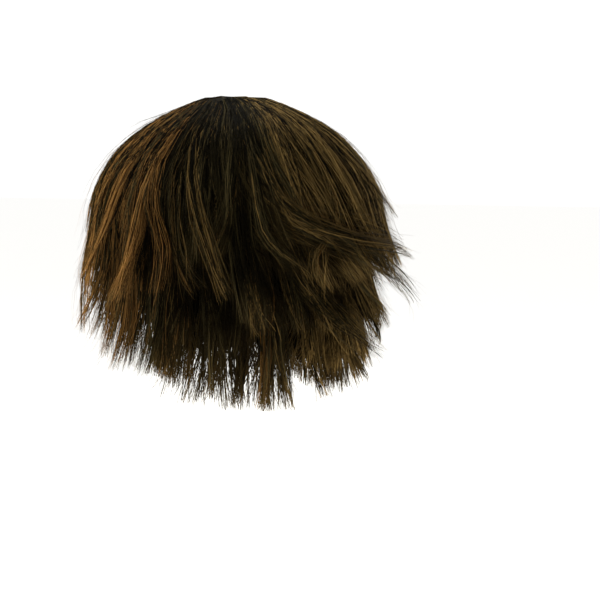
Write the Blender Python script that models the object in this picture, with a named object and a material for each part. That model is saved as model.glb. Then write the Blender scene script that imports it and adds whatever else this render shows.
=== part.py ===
# A short layered wig: a hollow cap, and rows of hair that hang from it over each other.
# Metres, +Z up. The origin is the top of the hollow, where the head's crown meets the cap.
# The wearer's face is towards -Y and the wearer's left towards +X.
# Azimuth is the angle round the head in degrees: 0 at the face, 90 at the left ear, 180 at the back.
# Travel is the distance down from the crown along a hair, over the head and then straight down.
import math

import bmesh
import bpy
import numpy as np

# The head's hollow
HEAD_WIDTH = 0.154
HEAD_LENGTH = 0.194
HEAD_DOME = 0.095  # from the crown down to the level where the head is widest
BACK_FULLNESS = 0.04  # how much wider than the middle the head is at the back, and narrower in front

# The cap
CAP_WALL = 0.0015
CAP_DEPTH = 0.152  # from the crown down to the hem at the nape
CAP_AROUND = 48  # facets round the cap
CAP_DOWN = 12  # and from its top to its hem

# The hair
HAIR_FALL = 0.250  # from the origin down to the longest row's ends
UNDER_BODY = 0.0080  # the thickness of the lowest row
MIDDLE_BODY = 0.0085
CROWN_TOP = 0.0115  # how far the crown's hair stands over the cap at the top of the head
CROWN_SIDE = 0.0325  # and at its widest level, over both of the other rows
SHOULDER = 0.25  # the share of the way down to that level where it starts to stand further off
ROOT_BODY = 0.0020  # the thickness where a row is sewn on
UNDER_LIFT = 0.0020  # how far the lowest row stands off the cap below its root
RISE_RUN = 0.030  # the travel over which a row comes to its full thickness
RISE_LEAD = 0.012  # how far above a row's root the row over it starts to rise
FLICK = 0.024  # how far a fully flicked end stands out
FLICK_RUN = 0.075  # the travel over which it does
FLICK_LIMIT = 1.2  # how many runs down a long lock goes on flicking
SWEEP_START = 0.15  # the share of the longest travel where the hair starts to sweep round the head
SWEEP_END = 0.78  # and where it has come all the way round
SWEEP_CURVE = 1.5  # the power of that sweep
SEAT_GAP = 0.0009  # between a row's root and the cap
LAYER_GAP = 0.0014  # between one row and the next
PART_GAP = 0.0012  # between two pieces of the same row, side by side

# The levels that every row is shaped at down to where its locks split, as shares of the travel from
# the crown to the head's widest level, so that a row and the one over it keep their gap between levels
LEVELS = (0.00, 0.11, 0.22, 0.33, 0.44, 0.53, 0.62, 0.72, 0.82, 0.91, 1.00, 1.14, 1.28)
MIDDLE_ROOT = 4  # the level where each row is sewn on
FRINGE_ROOT = 6
NAPE_ROOT = 8

# How the locks are shaped
TIP_WIDTH = 0.22  # a tip's width, as a share of its lock's root width
TIP_BODY = 0.30  # a tip's thickness, as a share of its row's
TAPER = 4.5  # how late a lock narrows: the power of the way down from its split
GROOVE = 0.42  # how much thinner a row is between two locks than along their middles
GROOVE_START = 0.1  # the share of the dome's travel where the grooves start
SHORT_EDGE = 0.02  # how much shorter a lock is along its edges, as a share of the hair's fall
THIN_CURVE = 1.5  # the power of the way down to a tip by which a lock thins
EDGES_PER_LOCK = 2

# The cap's hem: how far down it is, as a share of the cap's depth
CAP_HEM = (
    {"azimuth": 0, "down": 0.33},
    {"azimuth": 38, "down": 0.37},
    {"azimuth": 62, "down": 0.62},
    {"azimuth": 76, "down": 0.76},
    {"azimuth": 92, "down": 0.65},
    {"azimuth": 108, "down": 0.72},
    {"azimuth": 140, "down": 0.92},
    {"azimuth": 180, "down": 1.00},
)

# The rows' ends: how far down they are, as shares of the hair's fall
ENDS = (
    {"azimuth": 0, "crown": 0.45, "middle": 0.50, "under": 0.49},
    {"azimuth": 24, "crown": 0.54, "middle": 0.66, "under": 0.56},
    {"azimuth": 40, "crown": 0.62, "middle": 0.82, "under": 0.76},
    {"azimuth": 60, "crown": 0.65, "middle": 0.88, "under": 0.90},
    {"azimuth": 90, "crown": 0.62, "middle": 0.86, "under": 0.99},
    {"azimuth": 120, "crown": 0.61, "middle": 0.81, "under": 1.00},
    {"azimuth": 150, "crown": 0.58, "middle": 0.74, "under": 0.88},
    {"azimuth": 180, "crown": 0.57, "middle": 0.73, "under": 0.82},
)

# How far the ends flick out, as shares of the full flick
FLICKS = (
    {"azimuth": 0, "crown": 0.15, "middle": 0.10, "under": 0.00},
    {"azimuth": 35, "crown": 0.50, "middle": 0.65, "under": 0.10},
    {"azimuth": 70, "crown": 0.40, "middle": 0.50, "under": 0.20},
    {"azimuth": 105, "crown": 0.45, "middle": 0.40, "under": 0.15},
    {"azimuth": 145, "crown": 0.85, "middle": 0.60, "under": 0.30},
    {"azimuth": 180, "crown": 1.00, "middle": 0.80, "under": 0.40},
)

# How far round the ends are swept, in degrees, all the way round the head
SWEEPS = (
    {"azimuth": 0, "turn": 0},
    {"azimuth": 50, "turn": -2},
    {"azimuth": 80, "turn": 5},
    {"azimuth": 110, "turn": 17},
    {"azimuth": 140, "turn": 24},
    {"azimuth": 170, "turn": 24},
    {"azimuth": 200, "turn": 16},
    {"azimuth": 235, "turn": 3},
    {"azimuth": 280, "turn": -3},
    {"azimuth": 310, "turn": 2},
    {"azimuth": 360, "turn": 0},
)

# The locks' differences, taken in turn along each row: a lock's share of the width, how much longer
# or shorter than the row's ends it is, how far it leans, and how much more or less it flicks out
WIDTHS = (1.25, 0.80, 1.00, 1.30, 0.75, 1.10, 0.90)
CUT = (0.04, -0.07, 0.02, -0.03, 0.06, -0.08, 0.03, 0.00, -0.05, 0.05, -0.02)
LEAN = (0.6, -0.4, 0.1, 1.0, -0.8, 0.3, -0.1)
OUT = (0.3, -0.4, 0.0, 0.5, -0.2)
LEAN_TURN = 3.0  # degrees at a tip

# What each row takes: its layer, the level of its root, its two ends round the head, its locks and the
# level where they split
FRINGE_END = 58
NAPE_START = 64
COVER_BLEND = 46  # degrees over which the rows above ease from lying over the fringe to the nape's row
ROWS = (
    {"name": "crown_hair", "layer": "crown", "root": 0,
     "start": -10, "end": 350, "locks": 26, "split": 9},
    {"name": "front_layer", "layer": "middle", "root": MIDDLE_ROOT,
     "start": -26, "end": 26, "locks": 4, "split": 9},
    {"name": "side_layer_left", "layer": "middle", "root": MIDDLE_ROOT,
     "start": 26, "end": 98, "locks": 5, "split": 11},
    {"name": "back_layer", "layer": "middle", "root": MIDDLE_ROOT,
     "start": 98, "end": 262, "locks": 11, "split": 11},
    {"name": "side_layer_right", "layer": "middle", "root": MIDDLE_ROOT,
     "start": 262, "end": 334, "locks": 5, "split": 11},
    {"name": "fringe", "layer": "under", "root": FRINGE_ROOT,
     "start": -FRINGE_END, "end": FRINGE_END, "locks": 7, "split": 8},
    {"name": "nape_hair", "layer": "under", "root": NAPE_ROOT,
     "start": NAPE_START, "end": 360 - NAPE_START, "locks": 15, "split": 12},
)
OPEN_STEPS = 5  # how many steps each lock has below its split

SHARP_ANGLE = 50  # degrees between two faces whose shared edge is drawn sharp
HAIR_LOOK = {"color": (0.030, 0.017, 0.009, 1.0), "roughness": 0.45}
CAP_LOOK = {"color": (0.020, 0.014, 0.010, 1.0), "roughness": 0.85}

DOME_TRAVEL = HEAD_DOME * math.pi / 2


def smooth(share):
    # 0 before 0, 1 after 1, and a smooth S between them
    share = min(1.0, max(0.0, share))
    return share * share * (3 - 2 * share)


def read_table(rows, column, azimuth, mirrored=True):
    # The column's value at this azimuth, eased from row to row
    azimuth = azimuth % 360
    if mirrored and azimuth > 180:
        azimuth = 360 - azimuth
    for low, high in zip(rows, rows[1:]):
        if azimuth <= high["azimuth"]:
            share = (azimuth - low["azimuth"]) / (high["azimuth"] - low["azimuth"])
            return low[column] + (high[column] - low[column]) * smooth(share)
    return rows[-1][column]


def head_point(azimuth, polar, offset):
    # A point on the head's ellipsoid at this angle down from the crown, moved out by the offset
    around = math.radians(azimuth)
    half_width = HEAD_WIDTH / 2 * (1 - BACK_FULLNESS * math.cos(around))
    half_length = HEAD_LENGTH / 2
    x = half_width * math.sin(polar) * math.sin(around)
    y = -half_length * math.sin(polar) * math.cos(around)
    z = HEAD_DOME * math.cos(polar)
    out = np.array((x / half_width**2, y / half_length**2, z / HEAD_DOME**2))
    out /= np.linalg.norm(out)
    return np.array((x, y, z - HEAD_DOME)) + out * offset


def form_point(azimuth, travel, offset):
    # The same at this travel, which goes straight down below the head's widest level
    below = max(0.0, travel - DOME_TRAVEL)
    return head_point(azimuth, (travel - below) / HEAD_DOME, offset) - np.array((0.0, 0.0, below))


def level_travel(level):
    return DOME_TRAVEL * LEVELS[level]


def covered(travel, root, body):
    # The height of a row and its gap, as the row that lies over it takes it: it rises ahead of the root
    return (body + LAYER_GAP) * smooth((travel - root + RISE_LEAD) / RISE_RUN)


def under_covered(azimuth, travel):
    # The same for the lowest row, which is sewn on higher in front than behind, eased from one to the other
    turned = min(azimuth % 360, 360 - azimuth % 360)
    share = smooth((turned - NAPE_START) / COVER_BLEND)
    root = level_travel(FRINGE_ROOT) * (1 - share) + level_travel(NAPE_ROOT) * share
    return covered(travel, root, UNDER_BODY + UNDER_LIFT)


def inner_height(row, azimuth, travel):
    # The height of the row's under side over the cap
    if row["layer"] == "under":
        return SEAT_GAP + UNDER_LIFT * smooth((travel - level_travel(row["root"])) / RISE_RUN)
    height = SEAT_GAP + under_covered(azimuth, travel)
    if row["layer"] == "crown":
        height += covered(travel, level_travel(MIDDLE_ROOT), MIDDLE_BODY)
    return height


def outer_height(row, azimuth, travel):
    # The height of the row's outside over the cap, along the middle of a lock
    if row["layer"] == "crown":
        share = (travel / DOME_TRAVEL - SHOULDER) / (1 - SHOULDER)
        return CROWN_TOP + (CROWN_SIDE - CROWN_TOP) * smooth(share)
    full = MIDDLE_BODY if row["layer"] == "middle" else UNDER_BODY
    share = (travel - level_travel(row["root"])) / RISE_RUN
    return inner_height(row, azimuth, travel) + ROOT_BODY + (full - ROOT_BODY) * smooth(share)


def row_ends(layer, azimuth):
    # The travel down to the row's ends
    return DOME_TRAVEL + read_table(ENDS, layer, azimuth) * HAIR_FALL - HEAD_DOME


def flicked(layer, azimuth, travel):
    # How far a hair stands out here, squared, over the last run before the row's ends
    share = max(0.0, (travel - row_ends(layer, azimuth) + FLICK_RUN) / FLICK_RUN)
    return FLICK * read_table(FLICKS, layer, azimuth) * min(share, FLICK_LIMIT) ** 2


def swept(azimuth, travel):
    # The azimuth that a hair rooted at this azimuth has come to after this travel
    down = travel / (DOME_TRAVEL + HAIR_FALL - HEAD_DOME)
    share = min(1.0, max(0.0, (down - SWEEP_START) / (SWEEP_END - SWEEP_START)))
    return azimuth + read_table(SWEEPS, "turn", azimuth, mirrored=False) * share**SWEEP_CURVE


def lock_point(row, number, edge, step, outside):
    # A point of a lock: edges are counted over its width and steps down its length from the row's root
    layer = row["layer"]
    start, end = row["edges"][number], row["edges"][number + 1]
    across = 2 * edge / EDGES_PER_LOCK - 1
    joined = row["split"] - row["root"]
    open_share = max(0.0, (step - joined) / OPEN_STEPS)
    half = (end - start) / 2 * (1 - (1 - TIP_WIDTH) * open_share**TAPER)
    lean = LEAN_TURN * LEAN[number % len(LEAN)] * open_share**TAPER
    rooted = (start + end) / 2 + across * half + lean
    travel = level_travel(row["root"] + min(step, joined))
    if open_share > 0:
        own = (CUT[number % len(CUT)] - SHORT_EDGE * across * across) * HAIR_FALL
        travel += (row_ends(layer, rooted) + own - travel) * open_share
    azimuth = swept(rooted, travel)
    low = inner_height(row, azimuth, travel)
    body = outer_height(row, azimuth, travel) - low
    groove = GROOVE * smooth(travel / DOME_TRAVEL - GROOVE_START) * across * across
    thin = (1 - TIP_BODY) * open_share**THIN_CURVE
    lower = low + body * thin / 2
    upper = low + body * (1 - groove) * (1 - thin / 2)
    out = flicked(layer, azimuth, travel) * (1 + OUT[number % len(OUT)] * open_share)
    return form_point(azimuth, travel, CAP_WALL + (upper if outside else lower) + out)


def lock_edges(row, trim):
    # The azimuths between the row's locks, which take their widths in turn
    widths = np.array([WIDTHS[number % len(WIDTHS)] for number in range(row["locks"])])
    shares = np.concatenate(((0.0,), np.cumsum(widths) / np.sum(widths)))
    return row["start"] + trim + (row["end"] - row["start"] - 2 * trim) * shares


def finish_object(name, mesh_data, look):
    bmesh.ops.recalc_face_normals(mesh_data, faces=mesh_data.faces)
    mesh = bpy.data.meshes.new(name)
    mesh_data.to_mesh(mesh)
    mesh_data.free()
    mesh.shade_smooth()
    mesh.set_sharp_from_angle(angle=math.radians(SHARP_ANGLE))
    material = bpy.data.materials.new(name)
    material.use_nodes = True
    shader = material.node_tree.nodes["Principled BSDF"]
    shader.inputs["Base Color"].default_value = look["color"]
    shader.inputs["Roughness"].default_value = look["roughness"]
    material.diffuse_color = look["color"]
    mesh.materials.append(material)
    obj = bpy.data.objects.new(name, mesh)
    bpy.context.scene.collection.objects.link(obj)


def make_row(row):
    # One closed solid: locks that share their edges above the split and have sides of their own below it
    data = bmesh.new()
    whole_ring = row["end"] - row["start"] == 360
    from_crown = row["layer"] == "crown"
    trim = 0.0 if whole_ring else math.degrees(PART_GAP / HEAD_WIDTH)
    row = dict(row, edges=lock_edges(row, trim))
    joined = row["split"] - row["root"]
    steps = joined + OPEN_STEPS
    made = {}

    def corner(number, edge, step, outside):
        if from_crown and step == 0:
            number, edge = 0, 0
        elif step <= joined and edge == EDGES_PER_LOCK:
            last = number == row["locks"] - 1
            if not last or whole_ring:
                number, edge = (number + 1) % row["locks"], 0
        key = (number, edge, step, outside)
        if key not in made:
            made[key] = data.verts.new(lock_point(row, *key))
        return made[key]

    def face(*corners):
        kept = [c for i, c in enumerate(corners) if c not in corners[:i]]
        if len(kept) > 2:
            data.faces.new(kept)

    for number in range(row["locks"]):
        for edge in range(EDGES_PER_LOCK):
            for step in range(steps):
                for outside in (False, True):
                    face(
                        corner(number, edge, step, outside),
                        corner(number, edge + 1, step, outside),
                        corner(number, edge + 1, step + 1, outside),
                        corner(number, edge, step + 1, outside),
                    )
            for step in (steps,) if from_crown else (0, steps):
                face(
                    corner(number, edge, step, False),
                    corner(number, edge + 1, step, False),
                    corner(number, edge + 1, step, True),
                    corner(number, edge, step, True),
                )
        for edge in (0, EDGES_PER_LOCK):
            outer_side = (number == 0 and edge == 0) or (number == row["locks"] - 1 and edge > 0)
            for step in range(0 if outer_side and not whole_ring else joined, steps):
                face(
                    corner(number, edge, step, False),
                    corner(number, edge, step + 1, False),
                    corner(number, edge, step + 1, True),
                    corner(number, edge, step, True),
                )
    finish_object(row["name"], data, HAIR_LOOK)


def make_cap():
    # The hollow cap: an even wall over the head from the crown to its hem
    data = bmesh.new()
    rings = {}
    for outside in (False, True):
        offset = CAP_WALL if outside else 0.0
        pole = data.verts.new(head_point(0, 0, offset))
        for step in range(1, CAP_DOWN + 1):
            for column in range(CAP_AROUND):
                azimuth = 360 * column / CAP_AROUND
                hem = CAP_DEPTH * read_table(CAP_HEM, "down", azimuth)
                polar = math.acos(1 - hem / HEAD_DOME) * step / CAP_DOWN
                rings[outside, step, column] = data.verts.new(head_point(azimuth, polar, offset))
        for column in range(CAP_AROUND):
            beside = (column + 1) % CAP_AROUND
            data.faces.new((pole, rings[outside, 1, column], rings[outside, 1, beside]))
            for step in range(1, CAP_DOWN):
                data.faces.new(
                    (
                        rings[outside, step, column],
                        rings[outside, step, beside],
                        rings[outside, step + 1, beside],
                        rings[outside, step + 1, column],
                    )
                )
    for column in range(CAP_AROUND):
        beside = (column + 1) % CAP_AROUND
        data.faces.new(
            (
                rings[False, CAP_DOWN, column],
                rings[False, CAP_DOWN, beside],
                rings[True, CAP_DOWN, beside],
                rings[True, CAP_DOWN, column],
            )
        )
    finish_object("cap", data, CAP_LOOK)


def main():
    for obj in list(bpy.data.objects):
        bpy.data.objects.remove(obj, do_unlink=True)
    make_cap()
    for row in ROWS:
        make_row(row)


main()
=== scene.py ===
import math

import bmesh
import bpy
import numpy as np
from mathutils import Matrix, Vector


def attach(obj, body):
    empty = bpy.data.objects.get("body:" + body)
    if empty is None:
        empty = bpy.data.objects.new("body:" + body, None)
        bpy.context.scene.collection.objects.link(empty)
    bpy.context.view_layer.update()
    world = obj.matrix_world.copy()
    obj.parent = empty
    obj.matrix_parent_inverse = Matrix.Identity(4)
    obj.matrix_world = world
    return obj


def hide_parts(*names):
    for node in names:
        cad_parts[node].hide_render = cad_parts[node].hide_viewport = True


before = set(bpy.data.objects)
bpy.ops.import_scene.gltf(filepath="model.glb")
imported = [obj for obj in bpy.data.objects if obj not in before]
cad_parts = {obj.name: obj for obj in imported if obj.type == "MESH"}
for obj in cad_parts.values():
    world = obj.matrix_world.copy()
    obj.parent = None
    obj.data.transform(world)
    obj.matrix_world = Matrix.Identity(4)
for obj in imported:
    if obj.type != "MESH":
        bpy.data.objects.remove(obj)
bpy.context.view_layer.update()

# The wig hangs as a head wears it: +Z up, face towards -Y, the wearer's left towards +X.
# A place on it is an azimuth in degrees (0 at the face, 90 at the left ear, 180 at the back)
# and a travel in metres, measured from the crown down along the hair.
head = {
    "width": 0.154,
    "length": 0.194,
    "dome": 0.095,          # from the crown down to the widest level
    "backFullness": 0.04,
    "capWall": 0.0015,
    "seatGap": 0.0009,
    "layerGap": 0.0014,
    "hairFall": 0.250,      # from the crown's inside down to the longest row's ends
}
domeTravel = head["dome"] * math.pi / 2

# The rows' under sides and outsides, as heights over the cap in metres
rows = {
    "crown": {"root": 0.0, "top": 0.0115, "side": 0.0325, "shoulder": 0.25},
    "middle": {"body": 0.0085, "root": 0.0656},
    "fringe": {"body": 0.0080, "root": 0.0925},
    "nape": {"body": 0.0080, "root": 0.1224},
    "riseRun": 0.030,
    "riseLead": 0.012,
    "rootBody": 0.0020,
    "lift": 0.0020,
    "napeStart": 64,
    "coverBlend": 46,
}

# Down to where each row's hair ends, in shares of the hair's fall, by azimuth to either side
ends = {
    "azimuth": (0, 24, 40, 60, 90, 120, 150, 180),
    "crown": (0.45, 0.54, 0.62, 0.66, 0.64, 0.62, 0.59, 0.58),
    "middle": (0.50, 0.66, 0.82, 0.88, 0.86, 0.82, 0.77, 0.74),
    "fringe": (0.49, 0.56, 0.76, 0.90, 0.90, 0.90, 0.90, 0.90),
    "nape": (0.49, 0.56, 0.76, 0.88, 0.98, 1.02, 0.91, 0.83),
}

# How far the ends stand out, in metres, by azimuth to either side
flicks = {
    "azimuth": (0, 35, 70, 105, 145, 180),
    "crown": (0.004, 0.007, 0.008, 0.010, 0.019, 0.024),
    "middle": (0.002, 0.014, 0.012, 0.010, 0.015, 0.020),
    "fringe": (0.000, 0.003, 0.004, 0.004, 0.004, 0.004),
    "nape": (0.000, 0.002, 0.004, 0.003, 0.007, 0.010),
    "run": 0.075,
}

# How far round the ends are swept, in degrees, from the face round by the left ear
sweeps = {
    "azimuth": (0, 45, 70, 95, 115, 135, 155, 175, 190, 205, 225, 250, 275, 310, 360),
    "turn": (0, -3, 1, 12, 26, 34, 28, 12, -2, -14, -28, -24, -8, 3, 0),
    "start": 0.075,
    "end": 0.235,
}


def ease(share):
    # 0 below 0, 1 above 1 and an S between: 3 s squared less 2 s cubed
    share = np.clip(share, 0.0, 1.0)
    return share * share * (3 - 2 * share)


def fromFace(azimuth):
    # How many degrees round from the face, to either side
    return np.abs((azimuth + 180) % 360 - 180)


def byAzimuth(table, column, azimuth):
    # The column at these azimuths, read the same to the left and the right of the face
    return np.interp(fromFace(azimuth), table["azimuth"], table[column])


def onForm(azimuth, travel, offset):
    # x = w sin(p) sin(a), y = -l sin(p) cos(a), z = d cos(p) - d on the head's ellipsoid, where p is
    # travel / d down to the widest level and then stays there while z drops with the travel, and
    # then out by the offset along the ellipsoid's normal
    azimuth, travel, offset = np.broadcast_arrays(azimuth, travel, offset)
    around = np.radians(azimuth)
    polar = np.minimum(travel, domeTravel) / head["dome"]
    below = np.maximum(0.0, travel - domeTravel)
    halfWidth = head["width"] / 2 * (1 - head["backFullness"] * np.cos(around))
    halfLength = head["length"] / 2
    x = halfWidth * np.sin(polar) * np.sin(around)
    y = -halfLength * np.sin(polar) * np.cos(around)
    z = head["dome"] * np.cos(polar)
    out = np.stack((x / halfWidth**2, y / halfLength**2, z / head["dome"] ** 2), axis=-1)
    out /= np.linalg.norm(out, axis=-1, keepdims=True)
    place = np.stack((x, y, z - head["dome"] - below), axis=-1)
    return place + out * offset[..., None], out


def covered(travel, root, body):
    # The height a row and its gap take under the next: an S over the rise, ahead of the root
    return (body + head["layerGap"]) * ease((travel - root + rows["riseLead"]) / rows["riseRun"])


def underSide(row, azimuth, travel):
    # The height of the row's under side: the seat, plus what each row beneath takes
    if row in ("fringe", "nape"):
        return head["seatGap"] + rows["lift"] * ease((travel - rows[row]["root"]) / rows["riseRun"])
    behind = ease((fromFace(azimuth) - rows["napeStart"]) / rows["coverBlend"])
    root = rows["fringe"]["root"] * (1 - behind) + rows["nape"]["root"] * behind
    height = head["seatGap"] + covered(travel, root, rows["nape"]["body"] + rows["lift"])
    if row == "crown":
        height = height + covered(travel, rows["middle"]["root"], rows["middle"]["body"])
    return height


def outSide(row, azimuth, travel):
    # The height of the row's outside: an S from the crown's top to its side, or the under side plus
    # a body that grows from the root's
    if row == "crown":
        crown = rows["crown"]
        share = (travel / domeTravel - crown["shoulder"]) / (1 - crown["shoulder"])
        return crown["top"] + (crown["side"] - crown["top"]) * ease(share)
    share = ease((travel - rows[row]["root"]) / rows["riseRun"])
    body = rows["rootBody"] + (rows[row]["body"] - rows["rootBody"]) * share
    return underSide(row, azimuth, travel) + body


def endTravel(row, azimuth):
    return domeTravel + byAzimuth(ends, row, azimuth) * head["hairFall"] - head["dome"]


def flickOut(row, azimuth, travel):
    # The square of the way down the last run before the row's ends, times the flick there
    share = (travel - endTravel(row, azimuth) + flicks["run"]) / flicks["run"]
    return byAzimuth(flicks, row, azimuth) * np.clip(share, 0.0, 1.25) ** 2


def sweepTurn(azimuth, travel):
    # How far round a hair rooted at this azimuth has come: its turn times an S down the travel
    share = ease((travel - sweeps["start"]) / (sweeps["end"] - sweeps["start"]))
    return np.interp(azimuth % 360, sweeps["azimuth"], sweeps["turn"]) * share


# One hair is a three-sided tube. Hairs that end together are a wisp, and wisps that hang together are a
# lock, which has a body of hair inside it, painted darker as the shade inside the lock
fibre = {
    "sides": 3,
    "halfWidth": 0.00032,
    "tipWidth": 0.22,       # of the half width
    "bunching": 1.35,       # how much closer the rings stand towards the tip
    "cellMargin": 0.06,     # of its cell in the bake's UV map
    "cellShape": 0.6,       # how many cells are across that map for each one down, squared
    "apart": (0.0137, 0.0291),      # metres between one tube and the next in the fibres' UV map
    "lowest": 0.0018,       # the least height over the cap's inside
}
lockBody = {
    "rings": 12,
    "sides": 6,
    "width": 0.62,          # of its lock's
    "thick": 0.0016,
    "reach": 0.84,          # of its lock's length
    "start": 0.02,
    "depth": 0.50,
    "lowest": 0.0030,       # the least height over the cap
    # painted shade: the body's colour as a share of its hair's, for the shade inside the lock
    "shade": 0.28,
    "named": 0.7,           # a named lock's body, in shares of another's width
}


def ringShares(rings):
    # Where the rings stand along a hair: 1 - (1 - s) to the power of the bunching
    return 1 - (1 - np.linspace(0.0, 1.0, rings)) ** fibre["bunching"]


def throughPoints(controls, share):
    # A Catmull-Rom curve through each row of control values, read at each share of its length
    spans = controls.shape[1] - 1
    place = np.clip(share * spans, 0.0, spans - 1e-6)
    span = place.astype(int)
    part = place - span
    before = 2 * controls[:, :1] - controls[:, 1:2]
    after = 2 * controls[:, -1:] - controls[:, -2:-1]
    padded = np.concatenate((before, controls, after), axis=1)
    a, b, c, d = (np.take_along_axis(padded, span + k, axis=1) for k in range(4))
    return b + part / 2 * (c - a + part * (2 * a - 5 * b + 4 * c - d + part * (3 * (b - c) + d - a)))


def paint(mesh, shades):
    # The colour of each point, with its painted light and shade, which the fibre's material reads
    colour = mesh.color_attributes.new(name="hairColour", type="FLOAT_COLOR", domain="POINT")
    painted = np.concatenate((shades, np.ones(shades.shape[:-1] + (1,))), axis=-1)
    colour.data.foreach_set("color", painted.reshape(-1))


def tubeMesh(name, centres, outward, widths, thicks, shades, sides):
    # Rings round each path: centre + w cos t side + h sin t up, joined into closed tubes. Each tube
    # has a cell of its own in one UV map, and in the other the metres across and along it
    tubes, rings = centres.shape[:2]
    along = np.gradient(centres, axis=1)
    along /= np.linalg.norm(along, axis=-1, keepdims=True) + 1e-12
    side = np.cross(along, outward)
    side /= np.linalg.norm(side, axis=-1, keepdims=True) + 1e-12
    up = np.cross(side, along)
    turns = np.arange(sides) * 2 * math.pi / sides + math.pi / 2
    ring = np.cos(turns)[:, None] * (side * widths[..., None])[:, :, None, :]
    ring = ring + np.sin(turns)[:, None] * (up * thicks[..., None])[:, :, None, :]
    points = centres[:, :, None, :] + ring

    # Corner numbers: quads down each side, then the faces that close the root and the tip
    ringOf, sideOf = np.meshgrid(np.arange(rings - 1), np.arange(sides), indexing="ij")
    nextSide = (sideOf + 1) % sides
    quad = (ringOf * sides + sideOf, (ringOf + 1) * sides + sideOf)
    quad += ((ringOf + 1) * sides + nextSide, ringOf * sides + nextSide)
    quad = np.stack(quad, axis=-1).reshape(-1, 4)
    tipFace = (rings - 1) * sides + np.arange(sides)[::-1]
    oneTube = np.concatenate((quad.reshape(-1), np.arange(sides), tipFace))
    corners = (oneTube[None, :] + np.arange(tubes)[:, None] * rings * sides).reshape(-1)
    sizes = np.tile(np.concatenate((np.full(len(quad), 4), (sides, sides))), tubes)

    # The cells: across is round the tube, and up is along it
    margin = fibre["cellMargin"]
    cornerSide = np.stack((sideOf, sideOf, sideOf + 1, sideOf + 1), axis=-1).reshape(-1)
    cornerRing = np.stack((ringOf, ringOf + 1, ringOf + 1, ringOf), axis=-1).reshape(-1)
    quadU, quadV = cornerSide / sides, cornerRing / (rings - 1)
    capU = 0.5 + 0.5 * np.cos(turns)
    capV = (0.5 + 0.5 * np.sin(turns)) * 0.8 * margin
    oneU = np.concatenate((quadU, capU, capU)) * (1 - 2 * margin) + margin
    oneV = np.concatenate((quadV * (1 - 2 * margin) + margin, capV, 1 - capV))
    across = math.ceil(math.sqrt(tubes * fibre["cellShape"]))
    down = math.ceil(tubes / across)
    cell = np.arange(tubes)
    u = (oneU[None, :] + (cell % across)[:, None]) / across
    v = (oneV[None, :] + (cell // across)[:, None]) / down

    mesh = bpy.data.meshes.new(name)
    mesh.vertices.add(tubes * rings * sides)
    mesh.vertices.foreach_set("co", points.reshape(-1))
    mesh.loops.add(len(corners))
    mesh.loops.foreach_set("vertex_index", corners.astype(np.int32))
    mesh.polygons.add(len(sizes))
    starts = np.concatenate(((0,), np.cumsum(sizes)[:-1])).astype(np.int32)
    mesh.polygons.foreach_set("loop_start", starts)
    mesh.uv_layers.new(name="OFBake").data.foreach_set("uv", np.stack((u, v), axis=-1).reshape(-1))
    fold = np.abs(((np.arange(sides + 1) / sides + 0.5) % 1.0) - 0.5) * 2
    metresU = (fold[None, :] * widths[:, :1] * 2) + cell[:, None] * fibre["apart"][0]
    steps = np.linalg.norm(np.diff(centres, axis=1), axis=-1)
    metresV = np.concatenate((np.zeros((tubes, 1)), np.cumsum(steps, axis=1)), axis=1)
    metresV = metresV + cell[:, None] * fibre["apart"][1]
    cornerSide = np.concatenate((cornerSide, np.arange(sides), np.arange(sides)[::-1]))
    cornerRing = np.concatenate((cornerRing, np.zeros(sides, int), np.full(sides, rings - 1)))
    metres = np.stack((metresU[:, cornerSide], metresV[:, cornerRing]), axis=-1)
    mesh.uv_layers.new(name="fibreMetres").data.foreach_set("uv", metres.reshape(-1))
    paint(mesh, np.broadcast_to(shades[:, :, None, :], (tubes, rings, sides, 3)))
    mesh.update(calc_edges=True)
    mesh.shade_smooth()
    return mesh


def addPiece(name, mesh, material, nodes):
    piece = bpy.data.objects.new(name, mesh)
    bpy.context.scene.collection.objects.link(piece)
    mesh.materials.append(material)
    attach(piece, "root")
    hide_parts(*nodes)


# The colours of the hair, as linear light, with litGolden standing for painted light, how often a hair takes
# each, and where round the head it is commonest, by its azimuth, how far that reaches and how much more
# there is of it
tones = {
    "black": {"colour": (0.0014, 0.0011, 0.0005), "often": 0.38, "most": 140, "reach": 45, "more": 0.3},
    "dark": {"colour": (0.0072, 0.0058, 0.0022), "often": 0.28, "most": 110, "reach": 60, "more": 0.2},
    "brown": {"colour": (0.0400, 0.0315, 0.0135), "often": 0.25, "most": 110, "reach": 60, "more": 0.0},
    "copper": {"colour": (0.1550, 0.0780, 0.0225), "often": 0.008, "most": 45, "reach": 27, "more": 0.60},
    # litGolden is painted light: the colour of hair that light shines on or through, gathered round azimuth
    # 200 where the hair's edge is lit from behind
    "litGolden": {"colour": (0.1350, 0.0870, 0.0300), "often": 0.020, "most": 200, "reach": 15, "more": 2.1},
}

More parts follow.
